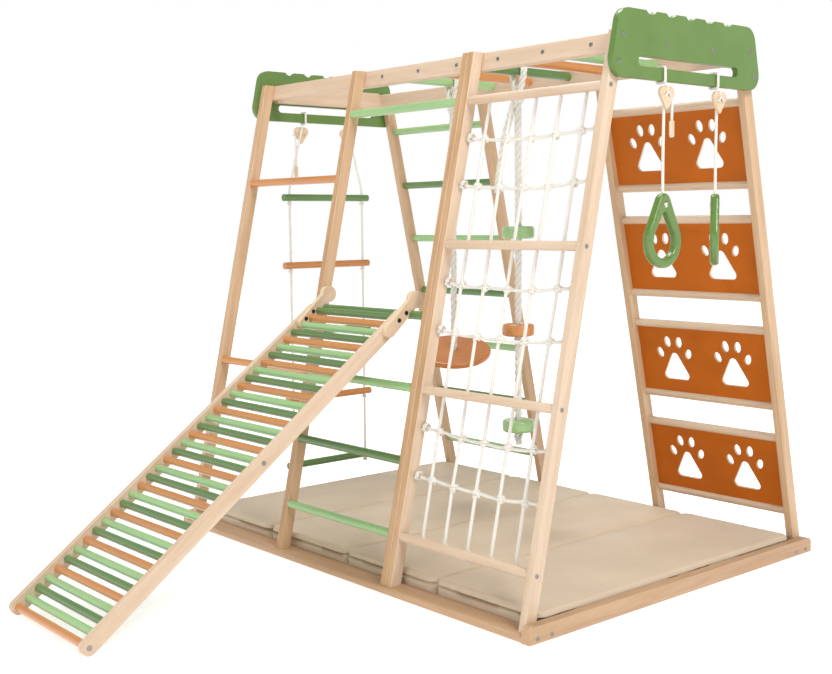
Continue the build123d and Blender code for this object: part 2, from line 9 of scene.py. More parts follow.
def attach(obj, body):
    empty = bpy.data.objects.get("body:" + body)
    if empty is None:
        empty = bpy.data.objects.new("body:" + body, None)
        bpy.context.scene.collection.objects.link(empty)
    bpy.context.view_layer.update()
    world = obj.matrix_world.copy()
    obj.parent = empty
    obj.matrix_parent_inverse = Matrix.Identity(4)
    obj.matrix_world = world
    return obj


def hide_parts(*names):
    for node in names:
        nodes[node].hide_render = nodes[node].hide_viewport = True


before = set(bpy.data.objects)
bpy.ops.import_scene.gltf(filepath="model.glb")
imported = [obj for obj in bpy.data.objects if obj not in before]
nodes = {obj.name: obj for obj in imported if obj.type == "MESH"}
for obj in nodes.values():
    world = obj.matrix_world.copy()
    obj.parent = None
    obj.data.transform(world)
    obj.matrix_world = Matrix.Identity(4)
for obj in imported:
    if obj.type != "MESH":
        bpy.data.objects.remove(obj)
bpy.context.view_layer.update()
random.seed(7)

# Places shared with the CAD model -----------------------------------------------------------------
LEAN = radians(12.5)
FOOT_Y = 0.617
NET_BAY = (0.280, 0.768)
RUNG_Z0, RUNG_PITCH = 0.156, 0.201
NET_R, NET_IN, NET_SAG, PEG_R, PEG_L = 0.004, 0.0297, 0.014, 0.006, 0.022
NET_DRAWN_R = 1.15 * NET_R
TOP_RUNG = 6
NET_HEIGHTS = [RUNG_Z0 + RUNG_PITCH * k - drop for k in (TOP_RUNG, 4, 2) for drop in (0.104, 0.236)]
NET_COLUMNS = [NET_BAY[0] + 0.488 * (i + 0.75) / 5.5 for i in range(5)]
ROPE_R, TAIL_R, THICK_R, THICK_LAY = 0.004, 0.0035, 0.011, 0.070
HANG_X, PIVOT_Z = 0.810, 1.3684
RING_Y, RING_KNOT_Z = (-0.113, 0.117), 1.062
LOOP_X, LOOP_LOW, LOOP_HIGH, LOOP_HALF = 0.801, 1.3767, 1.4163, 0.0133
TOGGLE_IN, TOGGLE_T, TOGGLE_TOP = 0.0043, 0.008, PIVOT_Z - 0.002
TAIL_OFF, BEAD_L, RING_BEAD_Z, LADDER_BEAD_Z = 0.024, 0.036, 1.243, 1.189
LADDER_TOP_Y, LADDER_Y = 0.103, 0.165
LADDER_RUNGS = (1.114, 0.870, 0.626, 0.382, 0.138)
MONKEY_R, MONKEY_Z = 0.014, 1.476
SWING_X, SWING_Y, SWING_KNOT_Z = -0.17025, 0.045, 0.552
STEP_X, STEP_Y, STEP_DISCS = 0.17075, 0.003, (0.988, 0.687, 0.387)
EYE_KNOT_Z = MONKEY_Z - 0.082
MAT_COUNT, MAT_H, MAT_D = 4, 0.060, 1.114
MAT_W, MAT_PITCH = 0.3955, 0.396
MAT_EDGE, MAT_CORNER, MAT_STEPS = 0.015, 0.026, 176
MAT_X = [MAT_PITCH * (i - (MAT_COUNT - 1) / 2) for i in range(MAT_COUNT)]
INNER_LEGS = (-0.285, 0.281)
HOOK_PLATES, HOOK_Z = ((-0.2531, -0.2349), (0.1609, 0.1795)), 0.68
SLIDE_BARS = 36


# Camera -------------------------------------------------------------------------------------------
def set_camera():
    """Camera in front of the gym's right end, a little above its middle."""
    yaw, pitch, roll = 0.859, 0.096, -0.0098
    forward = Vector((-sin(yaw) * cos(pitch), cos(yaw) * cos(pitch), -sin(pitch)))
    level = Vector((cos(yaw), sin(yaw), 0))
    upright = level.cross(forward)
    right = level * cos(roll) + upright * sin(roll)
    up = upright * cos(roll) - level * sin(roll)
    data = bpy.data.cameras.new("camera")
    data.sensor_width = 36
    data.lens = 52.2
    data.clip_end = 60
    camera = bpy.data.objects.new("camera", data)
    turn = Matrix((right, up, -forward)).transposed().to_4x4()
    camera.matrix_world = Matrix.Translation((2.7876, -2.6743, 1.0267)) @ turn
    bpy.context.collection.objects.link(camera)
    bpy.context.scene.camera = camera


set_camera()


# Lines and tubes ----------------------------------------------------------------------------------
def link(name, mesh):
    obj = bpy.data.objects.new(name, mesh)
    bpy.context.collection.objects.link(obj)
    return obj


def spline_line(route):
    """Smooth line through a route, read from a NURBS curve with the route as control points."""
    curve = bpy.data.curves.new("route", "CURVE")
    curve.dimensions = "3D"
    curve.resolution_u = 16
    spline = curve.splines.new("NURBS")
    spline.points.add(len(route) - 1)
    for point, place in zip(spline.points, route):
        point.co = (*place, 1)
    spline.order_u = 3
    spline.use_endpoint_u = True
    obj = link("route", curve)
    mesh = bpy.data.meshes.new_from_object(obj)
    line = [v.co.copy() for v in mesh.vertices]
    bpy.data.objects.remove(obj)
    bpy.data.meshes.remove(mesh)
    return line


def run_along(line):
    """Points of a line as an array, and the length run at each of them."""
    points = np.array([tuple(p) for p in line])
    return points, np.concatenate(([0], np.cumsum(np.linalg.norm(np.diff(points, axis=0), axis=1))))


def spread(line, count):
    """The same line with that many evenly spaced points."""
    points, run = run_along(line)
    at = np.linspace(0, run[-1], count)
    return [Vector(p) for p in np.stack([np.interp(at, run, points[:, k]) for k in range(3)], 1)]


def even(line, step):
    """The same line with evenly spaced points, about a step apart."""
    length = run_along(line)[1][-1]
    return spread(line, max(2, int(length / step) + 1))


def frames(line, closed=False):
    """Tangent and two cross directions at each point, carried along without twist."""
    n = len(line)
    tangents = []
    for i in range(n):
        before = (i - 1) % n if closed else max(i - 1, 0)
        after = (i + 1) % n if closed else min(i + 1, n - 1)
        tangents.append((line[after] - line[before]).normalized())
    side = tangents[0].orthogonal().normalized()
    out = []
    for t in tangents:
        side = (side - t * side.dot(t)).normalized()
        out.append((t, side, t.cross(side)))
    return out


class Builder:
    """Collects tubes in one mesh, with a texture map along and round each tube."""

    def __init__(self):
        self.verts, self.faces, self.uvs = [], [], []

    def tube(self, line, radius, sides=12, closed=False):
        base, n = len(self.verts), len(line)
        run, marks = 0.0, []
        girth = 2 * pi * radius
        for i, (point, (_, a, b)) in enumerate(zip(line, frames(line, closed))):
            for k in range(sides):
                angle = 2 * pi * k / sides
                self.verts.append(point + (a * cos(angle) + b * sin(angle)) * radius)
            marks.append(run / girth)
            run += (line[(i + 1) % n] - point).length
        marks.append(run / girth)
        for i in range(n if closed else n - 1):
            for k in range(sides):
                here, there, m = base + i * sides, base + (i + 1) % n * sides, (k + 1) % sides
                self.faces.append([here + k, here + m, there + m, there + k])
                u0, u1, v0, v1 = k / sides, (k + 1) / sides, marks[i], marks[i + 1]
                self.uvs += [(u0, v0), (u1, v0), (u1, v1), (u0, v1)]
        if not closed:
            for end, order in ((0, range(sides - 1, -1, -1)), (n - 1, range(sides))):
                self.faces.append([base + end * sides + k for k in order])
                self.uvs += [(0.5, marks[end])] * sides

    def twisted(self, line, radius, pitch, step=0.003):
        """Three strands laid round the line, like a hawser rope of that outer radius."""
        strand, helix = radius / 2.1547, radius * 1.1547 / 2.1547
        points = even(line, step)
        laid = frames(points)
        gap = (points[1] - points[0]).length
        turns = 2 * pi * gap / pitch
        for s in range(3):
            path = []
            for i, (p, (_, a, b)) in enumerate(zip(points, laid)):
                angle = turns * i + 2 * pi * s / 3
                path.append(p + a * (helix * cos(angle)) + b * (helix * sin(angle)))
            self.tube(path, strand * 1.04, 10)

    def finish(self, name, body, slot, material, replaced=()):
        mesh = bpy.data.meshes.new(name)
        mesh.from_pydata([tuple(v) for v in self.verts], [], self.faces)
        mesh.validate()
        layer = mesh.uv_layers.new(name="along")
        if len(layer.data) == len(self.uvs):
            layer.data.foreach_set("uv", [x for uv in self.uvs for x in uv])
        mesh.polygons.foreach_set("use_smooth", [True] * len(mesh.polygons))
        mesh.materials.append(material)
        obj = link(name, mesh)
        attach(obj, body)
        if replaced:
            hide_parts(*replaced)
        return obj


def knot_line(centre, size, axis=(0, 0, 1), spin=0.0):
    """Closed line of an overhand knot, size being its half width."""
    turn = Vector((0, 0, 1)).rotation_difference(Vector(axis)).to_matrix() @ Matrix.Rotation(spin, 3, "Z")
    line = []
    for i in range(48):
        t = 2 * pi * i / 48
        local = Vector((sin(t) + 2 * sin(2 * t), cos(t) - 2 * cos(2 * t), -1.6 * sin(3 * t))) * (size / 3)
        line.append(Vector(centre) + turn @ local)
    return line


def helix_line(centre, axis, start, radius, pitch, turns, begin=0.0):
    """Line that winds round an axis, both ways from the centre."""
    axis, start = Vector(axis).normalized(), Vector(start).normalized()
    other = axis.cross(start)
    line = []
    count = int(28 * turns)
    for i in range(count + 1):
        angle = begin + 2 * pi * turns * i / count
        along = pitch * (turns * i / count - turns / 2)
        out = start * (radius * cos(angle)) + other * (radius * sin(angle))
        line.append(Vector(centre) + axis * along + out)
    return line


# Material building --------------------------------------------------------------------------------
def map_range(tree, value, low, high, out_low, out_high):
    """Socket that goes from out_low to out_high while the value goes from low to high."""
    node = tree.nodes.new("ShaderNodeMapRange")
    for key, number in (("From Min", low), ("From Max", high), ("To Min", out_low), ("To Max", out_high)):
        node.inputs[key].default_value = number
    tree.links.new(value, node.inputs["Value"])
    return node.outputs["Result"]


class Shader:
    """A Principled material with short calls for the nodes that feed it."""

    def __init__(self, name, roughness=0.5, specular=0.5, coat=0.0, sheen=0.0, metallic=0.0):
        self.material = bpy.data.materials.new(name)
        self.material.use_nodes = True
        self.tree = self.material.node_tree
        self.main = self.tree.nodes["Principled BSDF"]
        self.main.inputs["Roughness"].default_value = roughness
        self.main.inputs["Specular IOR Level"].default_value = specular
        self.main.inputs["Coat Weight"].default_value = coat
        self.main.inputs["Coat Roughness"].default_value = 0.25
        self.main.inputs["Sheen Weight"].default_value = sheen
        self.main.inputs["Metallic"].default_value = metallic

    def node(self, kind, **inputs):
        node = self.tree.nodes.new(kind)
        for key, value in inputs.items():
            self.put(node, key.replace("_", " "), value)
        return node

    def put(self, node, key, value):
        if isinstance(value, bpy.types.NodeSocket):
            self.tree.links.new(value, node.inputs[key])
        else:
            node.inputs[key].default_value = value

    def here(self):
        """Place on the object, in metres."""
        return self.node("ShaderNodeTexCoord").outputs["Object"]

    def along(self):
        """Coordinates round and along a tube, from its texture map."""
        uv = self.node("ShaderNodeUVMap")
        uv.uv_map = "along"
        part = self.node("ShaderNodeSeparateXYZ", Vector=uv.outputs["UV"])
        return part.outputs["X"], part.outputs["Y"]

    def attribute(self, name):
        node = self.tree.nodes.new("ShaderNodeAttribute")
        node.attribute_name = name
        return node

    def place(self, source, scale=(1, 1, 1)):
        node = self.node("ShaderNodeMapping", Scale=scale)
        self.put(node, "Vector", source)
        return node.outputs["Vector"]

    def noise(self, vector, scale, detail=4.0, rough=0.55, distortion=0.0):
        node = self.node("ShaderNodeTexNoise", Scale=scale, Detail=detail, Roughness=rough,
                         Distortion=distortion)
        self.put(node, "Vector", vector)
        return node.outputs["Fac"]

    def math(self, operation, a, b=0.0):
        node = self.tree.nodes.new("ShaderNodeMath")
        node.operation = operation
        self.put(node, 0, a)
        self.put(node, 1, b)
        return node.outputs[0]

    def humps(self, value):
        """Rounded humps from 0 to 1, one for each whole step of the value."""
        return self.math("ABSOLUTE", self.math("SINE", self.math("MULTIPLY", value, pi)))

    def ramp(self, value, low, high, out_low=0.0, out_high=1.0):
        return map_range(self.tree, value, low, high, out_low, out_high)

    def mix(self, factor, a, b):
        node = self.tree.nodes.new("ShaderNodeMix")
        node.data_type = "RGBA"
        for key, value in ((0, factor), (6, a), (7, b)):
            self.put(node, key, value)
        return node.outputs[2]

    def bump(self, height, distance, strength=1.0):
        node = self.node("ShaderNodeBump", Strength=strength, Distance=distance)
        self.put(node, "Height", height)
        self.put(self.main, "Normal", node.outputs["Normal"])

    def finish(self, colour, roughness=None):
        self.put(self.main, "Base Color", colour)
        if roughness is not None:
            self.put(self.main, "Roughness", roughness)
        return self.material


def tone(colour, factor):
    return tuple(min(1, c * factor) for c in colour[:3]) + (1,)


def grain_masks(shader):
    """Broad figure, fine fibre and the piece's own tone, all along the piece's length."""
    grain = shader.attribute("grain").outputs["Vector"]
    own = shader.attribute("tone").outputs["Fac"]
    figure = shader.noise(shader.place(grain, (2.2, 34, 34)), 1.0, 5, 0.6, 0.7)
    fibre = shader.noise(shader.place(grain, (14, 620, 620)), 1.0, 3, 0.6)
    return figure, fibre, own


def bare_wood(name, light, dark, roughness=0.46):
    shader = Shader(name, roughness, coat=0.06)
    figure, fibre, own = grain_masks(shader)
    base = shader.mix(shader.ramp(figure, 0.38, 0.66), light, dark)
    base = shader.mix(shader.ramp(fibre, 0.45, 0.75, 0, 0.32), base, tone(dark, 0.82))
    base = shader.mix(shader.math("MULTIPLY", own, 0.35), base, tone(dark, 0.96))
    rough = shader.ramp(fibre, 0.3, 0.7, roughness - 0.06, roughness + 0.1)
    shader.bump(shader.math("ADD", fibre, shader.math("MULTIPLY", figure, 0.4)), 0.00025, 0.5)
    return shader.finish(base, rough)


def stained_wood(name, colour, roughness=0.30, coat=0.6):
    shader = Shader(name, roughness, coat=coat)
    figure, fibre, own = grain_masks(shader)
    base = shader.mix(shader.ramp(figure, 0.35, 0.7), tone(colour, 1.07), tone(colour, 0.86))
    base = shader.mix(shader.ramp(fibre, 0.5, 0.8, 0, 0.28), base, tone(colour, 0.7))
    base = shader.mix(shader.math("MULTIPLY", own, 0.22), base, tone(colour, 0.88))
    rough = shader.ramp(fibre, 0.3, 0.7, roughness - 0.05, roughness + 0.09)
    shader.bump(fibre, 0.00018, 0.45)
    return shader.finish(base, rough)


def painted_board(name, colour, roughness=0.38, coat=0.25, specular=0.5):
    shader = Shader(name, roughness, specular, coat=coat)
    where = shader.here()
    peel = shader.noise(where, 420, 2, 0.5)
    cloud = shader.noise(where, 9, 3, 0.5)
    base = shader.mix(shader.ramp(cloud, 0.35, 0.7), tone(colour, 1.04), tone(colour, 0.93))
    shader.bump(peel, 0.0002, 0.35)
    return shader.finish(base, shader.ramp(cloud, 0.3, 0.7, roughness - 0.05, roughness + 0.07))


def plywood_edge(name):
    """Edge of thin birch plywood: stacked layers, light and darker."""
    shader = Shader(name, 0.55)
    grain = shader.attribute("grain").outputs["Vector"]
    part = shader.node("ShaderNodeSeparateXYZ", Vector=grain)
    layers = shader.math("SINE", shader.math("MULTIPLY", part.outputs["Z"], 2 * pi / 0.0036))
    fibre = shader.noise(shader.place(grain, (40, 700, 700)), 1.0, 3)
    base = shader.mix(shader.ramp(layers, -0.6, 0.6), (0.80, 0.66, 0.46, 1), (0.60, 0.43, 0.25, 1))
    base = shader.mix(shader.ramp(fibre, 0.4, 0.8, 0, 0.3), base, (0.5, 0.34, 0.18, 1))
    shader.bump(layers, 0.0002, 0.4)
    return shader.finish(base)


def braided_cord(name, colour):
    """Fine braid: two families of yarns that cross on the tube's texture map."""
    shader = Shader(name, 0.82, 0.25, sheen=0.15)
    yarns = 6.0
    u, v = (shader.math("MULTIPLY", way, yarns) for way in shader.along())
    rising, falling = (shader.humps(shader.math(sign, u, v)) for sign in ("ADD", "SUBTRACT"))
    braid = shader.math("MINIMUM", rising, falling)
    fuzz = shader.noise(shader.here(), 1400, 3)
    height = shader.math("ADD", braid, shader.math("MULTIPLY", fuzz, 0.5))
    # Painted shade: the colour darkens in the grooves between the crossing yarns.
    base = shader.mix(shader.ramp(braid, 0.05, 0.5), tone(colour, 0.72), colour)
    base = shader.mix(shader.ramp(fuzz, 0.45, 0.8, 0, 0.25), base, tone(colour, 0.8))
    shader.bump(height, 0.0007, 0.7)
    return shader.finish(base)


def twisted_cord(name, colour):
    """Cotton strand: fine yarns slanting along the strand, with painted shade in the grooves."""
    shader = Shader(name, 0.9, 0.2, sheen=0.2)
    around, lengthwise = shader.along()
    yarns = shader.math("MULTIPLY", around, 7)
    yarn = shader.humps(shader.math("SUBTRACT", yarns, shader.math("MULTIPLY", lengthwise, 3)))
    where = shader.here()
    fuzz = shader.noise(where, 900, 4)
    soil = shader.noise(where, 16, 3)
    # Painted shade: the colour darkens where the yarns dip into the grooves.
    base = shader.mix(shader.ramp(yarn, 0.0, 0.5), tone(colour, 0.7), colour)
    base = shader.mix(shader.ramp(soil, 0.4, 0.75, 0, 0.35), base, tone(colour, 0.84))
    shader.bump(shader.math("ADD", yarn, shader.math("MULTIPLY", fuzz, 0.7)), 0.0008, 0.7)
    return shader.finish(base)


def leatherette(name, colour):
    shader = Shader(name, 0.5, 0.4, sheen=0.08)
    where = shader.here()
    pebble = shader.node("ShaderNodeTexVoronoi", Scale=520, Vector=where)
    pebble.feature = "DISTANCE_TO_EDGE"
    grain = shader.ramp(pebble.outputs["Distance"], 0.0, 0.12)
    cloud = shader.noise(where, 5, 3, 0.5)
    crease = shader.noise(where, 46, 4, 0.6, 1.2)
    base = shader.mix(shader.ramp(cloud, 0.35, 0.7), tone(colour, 1.03), tone(colour, 0.93))
    # Painted shade: the colour darkens in the cracks between the pebbles of the grain.
    base = shader.mix(shader.ramp(grain, 0, 1, 0.3, 0), base, tone(colour, 0.78))
    height = shader.math("ADD", shader.math("MULTIPLY", grain, 0.35), crease)
    shader.bump(height, 0.0009, 0.45)
    return shader.finish(base, shader.ramp(cloud, 0.3, 0.7, 0.42, 0.56))


def steel(name, colour, roughness):
    shader = Shader(name, roughness, metallic=1.0)
    where = shader.here()
    brushed = shader.noise(shader.place(where, (300, 300, 5000)), 1.0, 2)
    base = shader.mix(shader.ramp(brushed, 0.3, 0.7), tone(colour, 1.05), tone(colour, 0.8))
    shader.bump(brushed, 0.00005, 0.4)
    return shader.finish(base, shader.ramp(brushed, 0.3, 0.7, roughness - 0.08, roughness + 0.1))


BIRCH = bare_wood("birch_face", (0.69, 0.535, 0.395, 1), (0.60, 0.425, 0.285, 1))
# Darker copies of the birch, partly painted shade: the inner legs' front faces, and the left and rear legs.
BIRCH_SHADED_FRONT = bare_wood("birch_shaded_front", (0.60, 0.375, 0.20, 1), (0.43, 0.24, 0.105, 1))
BIRCH_WARM_SHADE = bare_wood("birch_warm_shade", (0.64, 0.44, 0.275, 1), (0.52, 0.325, 0.178, 1))
BIRCH_BASE = bare_wood("birch_base", (0.57, 0.375, 0.225, 1), (0.47, 0.28, 0.15, 1))
PALE = bare_wood("pale_plywood", (0.74, 0.57, 0.40, 1), (0.64, 0.455, 0.29, 1))
LIGHT_GREEN = stained_wood("light_green", (0.31, 0.52, 0.215, 1))
DARK_GREEN = stained_wood("dark_green", (0.100, 0.210, 0.052, 1))
ORANGE = stained_wood("orange", (0.58, 0.230, 0.056, 1))
DISC_ORANGE = stained_wood("disc_orange", (0.57, 0.190, 0.036, 1), 0.42)
RING_GREEN = painted_board("ring_green", (0.106, 0.205, 0.035, 1), 0.26, 0.5)
BOARD_GREEN = painted_board("board_green", (0.104, 0.196, 0.034, 1))
PANEL_ORANGE = painted_board("panel_orange", (0.48, 0.116, 0.005, 1), 0.55, 0.0, 0.2)
PLY_EDGE = plywood_edge("plywood_edge")
THIN_ROPE = braided_cord("braided_cord", (0.86, 0.82, 0.74, 1))
THICK_ROPE = twisted_cord("twisted_cord", (0.80, 0.77, 0.70, 1))
MAT = leatherette("mat_leatherette", (0.65, 0.525, 0.372, 1))
MAT_PIPING = leatherette("mat_piping", (0.635, 0.505, 0.350, 1))
ZINC = steel("zinc_screw", (0.34, 0.34, 0.33, 1), 0.36)
DARK_BOLT = steel("dark_bolt", (0.06, 0.06, 0.06, 1), 0.45)


def thin_rope(name, body, route, replaced=(), radius=ROPE_R):
    line = even(spline_line(route), 0.003)
    build = Builder()
    build.tube(line, radius, 14)
    obj = build.finish(name, body, "thin_rope", THIN_ROPE, replaced)


def ring_knot(name, body, y, turn):
    """Knot that fills the bore in the ring's head and stands a little proud of both faces."""
    build = Builder()
    across = Vector((cos(turn), sin(turn), 0))
    for shift, spin in ((-0.009, 0.0), (0.0, 0.7), (0.009, 1.4)):
        centre = Vector((HANG_X, y, RING_KNOT_Z)) + across * shift
        build.tube(knot_line(centre, 0.0052, across, spin), 0.0030, 10, closed=True)
    build.finish(name, body, "thin_rope", THIN_ROPE)


def lacing(name, body, side, y):
    """Rope over the tensioner: a tie to its top hole and two slanting runs to its lower holes."""
    build = Builder()
    face = side * (HANG_X + TOGGLE_IN + TOGGLE_T)
    proud, sunk = face + side * 0.003, face - side * 0.004
    for dy in (-0.011, 0.011):
        over = [(sunk, y, TOGGLE_TOP - 0.012), (proud, y, TOGGLE_TOP - 0.013),
                (face + side * 0.0036, y + 0.5 * dy, TOGGLE_TOP - 0.0195),
                (proud, y + dy, TOGGLE_TOP - 0.026), (sunk, y + dy, TOGGLE_TOP - 0.027)]
        build.tube(even(spline_line(over), 0.0015), 0.0027, 10)
    tie = [(side * HANG_X, y, PIVOT_Z - 0.0012), (side * (HANG_X + 0.009), y, PIVOT_Z - 0.0015),
           (proud, y, TOGGLE_TOP - 0.004), (face - side * 0.003, y, TOGGLE_TOP - 0.0125)]
    build.tube(even(spline_line(tie), 0.0015), 0.0024, 10)
    build.finish(name, body, "thin_rope", THIN_ROPE)


def ring_ropes():
    for name, y, turn in zip(("near", "far"), RING_Y, (0.0, radians(35))):
        hanger = f"{name}_ring_hanger"
        route = [(HANG_X, y, PIVOT_Z), (HANG_X + 0.0006, y + 0.0005, 1.300), (HANG_X - 0.0005, y, 1.200),
                 (HANG_X, y - 0.0005, 1.120), (HANG_X, y, RING_KNOT_Z)]
        ring_knot(f"ring_{name}_knot", f"{name}_ring", y, turn)
        thin_rope(f"ring_{name}_cord", hanger, route, [f"ring_{name}_rope"])
        lacing(f"ring_{name}_lacing", hanger, 1, y)


def tail(name, body, side, y, bead_z):
    """Short free rope beside a tensioner, with the joint above it and the knot under its bead."""
    x = side * (HANG_X + TOGGLE_IN + TOGGLE_T / 2)
    top, low = PIVOT_Z - 0.036, bead_z + BEAD_L
    route = [(x, y, top), (x, y + 0.0012, (top + low) / 2), (x, y, low)]
    thin_rope(name, body, route, radius=TAIL_R)
    build = Builder()
    joint = [(x, y, top + 0.002), (x, y - 0.2 * TAIL_OFF, top + 0.006), (x, y - 0.5 * TAIL_OFF, top + 0.004)]
    build.tube(even(spline_line(joint), 0.002), 0.0033, 10)
    build.tube(knot_line((x, y, bead_z - 0.002), 0.0042), 0.0024, 10, closed=True)
    build.finish(f"{name}_ends", body, "thin_rope", THIN_ROPE)


def ladder_ropes():
    x = -HANG_X
    for name, side in (("front", -1), ("rear", 1)):
        y0, y1 = side * LADDER_TOP_Y, side * LADDER_Y
        route = [(x, y0, PIVOT_Z), (x, side * 0.1275, 1.279), (x, side * 0.1560, 1.1765), (x, y1, 1.1440),
                 (x, y1, 1.1090), (x, y1 + 0.0008, 0.740), (x, y1, 0.112)]
        build = Builder()
        for z in LADDER_RUNGS:
            build.tube(knot_line((x, y1, z - 0.0205), 0.0060, spin=z * 9), 0.0032, 10, closed=True)
        knots = build.finish(f"ladder_{name}_knots", "rope_ladder", "thin_rope", THIN_ROPE)
        thin_rope(f"ladder_{name}_cord", "rope_ladder", route,
                  ["rope_ladder_ropes"])
        lacing(f"ladder_{name}_lacing", "rope_ladder", -1, y0)


def eye_line(x, y):
    """Line of a thick rope's eye: up from the knot, over the bar and down again."""
    r = MONKEY_R + THICK_R + 0.0003
    drop = MONKEY_Z - EYE_KNOT_Z
    tilt = asin(r / drop)
    low = [Vector((x, y, EYE_KNOT_Z))]
    arc = []
    for i in range(41):
        angle = -tilt + (pi + 2 * tilt) * i / 40
        arc.append(Vector((x + r * cos(angle), y, MONKEY_Z + r * sin(angle))))
    return low + arc + low


def rope_eye(name, body, x, y, replaced, tail_turn):
    """Eye round the bar with its knot and the short end, bound at its tip."""
    build = Builder()
    build.twisted(eye_line(x, y), THICK_R, THICK_LAY)
    for turn, size in ((0.0, 0.0125), (1.0, 0.0105)):
        knot = knot_line((x, y, EYE_KNOT_Z - 0.004 + 0.008 * turn), size, spin=turn)
        build.tube(even(knot + knot[:1], 0.003), 0.0066, 12)
    away = Vector((cos(tail_turn), sin(tail_turn), 0))
    free = [Vector((x, y, EYE_KNOT_Z - drop)) + away * out
            for drop, out in ((0, 0), (0.015, 0.018), (0.045, 0.024), (0.085, 0.021))]
    build.twisted(spline_line(free), 0.0085, 0.05)
    build.tube([free[-1] + Vector((0, 0, rise)) for rise in (0.012, 0.006, 0.002)], 0.0092, 16)
    return build.finish(f"{name}_eye", body, "twisted_rope", THICK_ROPE, replaced)


def twisted_rope(name, body, route, replaced):
    line = even(spline_line(route), 0.003)
    build = Builder()
    build.twisted(line, THICK_R, THICK_LAY)
    rope = build.finish(name, body, "twisted_rope", THICK_ROPE, replaced)


def thick_rope(name, body, x, y, end_z, replaced, tail_turn):
    """Rope that hangs from its eye round a monkey bar."""
    eye = rope_eye(name, body, x, y, replaced, tail_turn)
    route = [(x, y, EYE_KNOT_Z), (x + 0.0015, y, EYE_KNOT_Z - 0.25),
             (x - 0.001, y + 0.001, (EYE_KNOT_Z + end_z) / 2),
             (x, y, end_z + 0.20), (x, y, end_z)]
    twisted_rope(f"{name}_cord", body, route, replaced)


def long_tail(name, body, x, y):
    """Free end of the step rope, left long and hanging aslant from the eye's knot."""
    route = [(x - 0.008, y - 0.006, 1.392), (x - 0.018, y - 0.012, 1.350), (x - 0.030, y - 0.024, 1.290),
             (x - 0.040, y - 0.030, 1.225), (x - 0.046, y - 0.037, 1.165), (x - 0.050, y - 0.040, 1.110)]
    twisted_rope(name, body, route, ["step_rope"])


def stopper_knots(name, body, x, y, heights, size):
    build = Builder()
    for i, z in enumerate(heights):
        line = knot_line((x, y, z), size, spin=0.8 * i)
        build.twisted(line + line[:1], size * 0.52, 0.03, 0.002)
    build.finish(name, body, "twisted_rope", THICK_ROPE)


ring_ropes()
tail("ring_tail", "near_ring_hanger", 1, RING_Y[0] + TAIL_OFF, RING_BEAD_Z)
tail("ladder_tail", "rope_ladder", -1, -LADDER_TOP_Y - TAIL_OFF, LADDER_BEAD_Z)
ladder_ropes()
thick_rope("swing", "disc_swing", SWING_X, SWING_Y, 0.556, ["swing_rope"], 0.6)
thick_rope("step", "step_swing", STEP_X, STEP_Y, 0.328, ["step_rope"], 2.4)
long_tail("step_tail", "step_swing", STEP_X, STEP_Y)
stopper_knots("swing_knot", "disc_swing", SWING_X, SWING_Y, [SWING_KNOT_Z], 0.0135)
stopper_knots("step_knots", "step_swing", STEP_X, STEP_Y, [z - 0.0345 for z in STEP_DISCS], 0.0102)


# Net and board loops ------------------------------------------------------------------------------
def wall_point(x, z, depth, sag=0.0):
    """Point at a depth behind the leaning front wall's outer face, let down along the wall by the sag."""
    up = (z + depth * sin(LEAN)) / cos(LEAN) - sag
    return Vector((x, -FOOT_Y + up * sin(LEAN) + depth * cos(LEAN), up * cos(LEAN) - depth * sin(LEAN)))


def sag_at(x):
    t = (x - NET_BAY[0]) / (NET_BAY[1] - NET_BAY[0])
    return NET_SAG * 4 * t * (1 - t)


WALL_UP = Vector((0, sin(LEAN), cos(LEAN)))
WALL_OUT = Vector((0, -cos(LEAN), sin(LEAN)))


def upright_rope(build, x):
    """Rope up the bay, with a knot at the lowest and at the highest rung."""
    route = [wall_point(x, RUNG_Z0 - 0.002, NET_IN)]
    for z in sorted(NET_HEIGHTS):
        wobble = 0.0022 * random.uniform(-1, 1)
        route.append(wall_point(x + wobble, z, NET_IN - 0.0015, sag_at(x)))
    route.append(wall_point(x, RUNG_Z0 + TOP_RUNG * RUNG_PITCH, NET_IN))
    build.tube(even(route, 0.006), NET_DRAWN_R, 10)
    for step in (0, TOP_RUNG):
        end = wall_point(x, RUNG_Z0 + RUNG_PITCH * step, NET_IN + 0.003)
        build.tube(knot_line(end, 0.0062, WALL_OUT, x), 0.0034, 10, closed=True)


def cross_rope(build, z):
    """Rope from peg to peg, hitched to every upright rope and wound round its pegs."""
    pegs = (NET_BAY[0] + PEG_L / 2, NET_BAY[1] - PEG_L / 2)
    route = []
    for x in (pegs[0], *NET_COLUMNS, pegs[1]):
        behind, uneven = 0.0, 0.0
        if x not in pegs:
            behind, uneven = 0.006, 0.004 * random.uniform(-1, 1)
        route.append(wall_point(x, z, NET_IN + behind, sag_at(x) + uneven))
    hanging = []
    for a, b in zip(route, route[1:]):
        hanging += [a, (a + b) / 2 - WALL_UP * 0.0035]
    hanging.append(route[-1])
    build.tube(even(spline_line(hanging), 0.005), NET_DRAWN_R, 10)
    for x in NET_COLUMNS:
        at = wall_point(x, z, NET_IN + 0.002, sag_at(x))
        spin = random.uniform(0, 2 * pi)
        build.tube(knot_line(at, 0.0094, WALL_OUT, spin), 0.0042, 10, closed=True)
        build.tube(helix_line(at, WALL_UP, WALL_OUT, 0.0072, 0.0080, 2.0, spin), 0.0038, 10)
    for x in pegs:
        peg = wall_point(x, z, NET_IN)
        coil = helix_line(peg, (1, 0, 0), WALL_OUT, PEG_R + NET_R * 0.9, 0.0072, 2.0, 0.4)
        build.tube(coil, NET_R * 0.85, 10)


